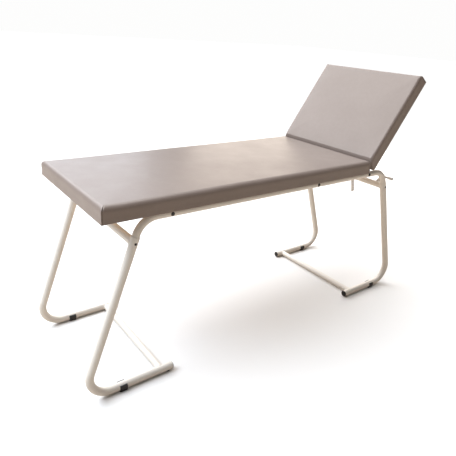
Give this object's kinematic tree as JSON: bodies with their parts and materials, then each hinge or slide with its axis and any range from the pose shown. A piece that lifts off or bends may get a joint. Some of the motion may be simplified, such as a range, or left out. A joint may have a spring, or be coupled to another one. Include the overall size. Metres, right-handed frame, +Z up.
{
  "type": "medical exam table",
  "caption": "Padded exam table on a bent-tube frame, with a hinged backrest held by a slotted stay and a push-release clamp rod.",
  "frame": {"origin": "on the floor, below the centre of the bounding box", "axes": "+X along the table from the foot end to the head end, +Y across it to the patient's right, +Z up"},
  "size_m": [1.7904, 0.6, 1.1476],
  "materials": {
    "cream_paint": "satin",
    "vinyl": "satin",
    "foam": "matte",
    "plywood": "matte",
    "zinc_steel": "satin",
    "dark_steel": "satin",
    "black_plastic": "matte",
    "white_plastic": "gloss"
  },
  "bodies": {
    "frame": {"foot_leg_left": "cream_paint", "foot_leg_right": "cream_paint", "head_leg_left": "cream_paint", "head_leg_right": "cream_paint", "side_rail_left": "cream_paint", "side_rail_right": "cream_paint", "foot_upper_cross_tube": "cream_paint", "head_upper_cross_tube": "cream_paint", "foot_lower_cross_tube": "cream_paint", "head_lower_cross_tube": "cream_paint", "foot_plug_left": "black_plastic", "foot_plug_right": "black_plastic", "head_plug_left": "black_plastic", "head_plug_right": "black_plastic", "foot_saddle_left": "black_plastic", "foot_saddle_right": "black_plastic", "head_saddle_left": "black_plastic", "head_saddle_right": "black_plastic", "foot_toe_left": "black_plastic", "foot_toe_right": "black_plastic", "head_toe_left": "black_plastic", "head_toe_right": "black_plastic", "leg_screws": "dark_steel", "foot_bearer": "cream_paint", "mid_bearer": "cream_paint", "foot_bolt_left": "dark_steel", "foot_bolt_right": "dark_steel", "mid_bolt_left": "dark_steel", "mid_bolt_right": "dark_steel", "hinge_bolt_left": "dark_steel", "hinge_bolt_right": "dark_steel", "hinge_lug_left": "cream_paint", "hinge_lug_right": "cream_paint", "hinge_pin_left": "zinc_steel", "hinge_pin_right": "zinc_steel", "latch_plate": "cream_paint", "guide_plate": "cream_paint", "seat_board": "plywood", "seat_foam": "foam", "seat_cover": "vinyl", "seat_screws": "zinc_steel", "release_spring": "zinc_steel"},
    "backrest": {"back_board": "plywood", "back_foam": "foam", "back_cover": "vinyl", "hinge_arm_left": "cream_paint", "hinge_arm_right": "cream_paint", "back_screws": "zinc_steel", "stay_bracket": "cream_paint", "stay_pin": "zinc_steel"},
    "stay": {"stay_bar": "zinc_steel"},
    "release": {"release_rod": "zinc_steel", "release_cap": "white_plastic", "clamp_head": "zinc_steel", "spring_collar": "zinc_steel"}
  },
  "joints": [
    {"name": "backrest_tilt", "type": "hinge", "parent": "frame", "child": "backrest", "pos_m": [0.542, 0, 0.712], "axis": [0, -1, 0], "range_deg": [-55, 5]},
    {"name": "stay_swing", "type": "hinge", "parent": "backrest", "child": "stay", "pos_m": [0.68779, -0.03, 0.87138], "axis": [0, -1, 0], "range_deg": [-2.6, 27.6]},
    {"name": "release_push", "type": "slide", "parent": "frame", "child": "release", "axis": [0, 1, 0], "range_m": [0, 0.007], "stiffness_N_per_m": 1500, "deforming": ["release_spring"]}
  ],
  "couplings": [
    {"joint": "stay_swing", "follows": "backrest_tilt", "ratio": -0.5}
  ]
}
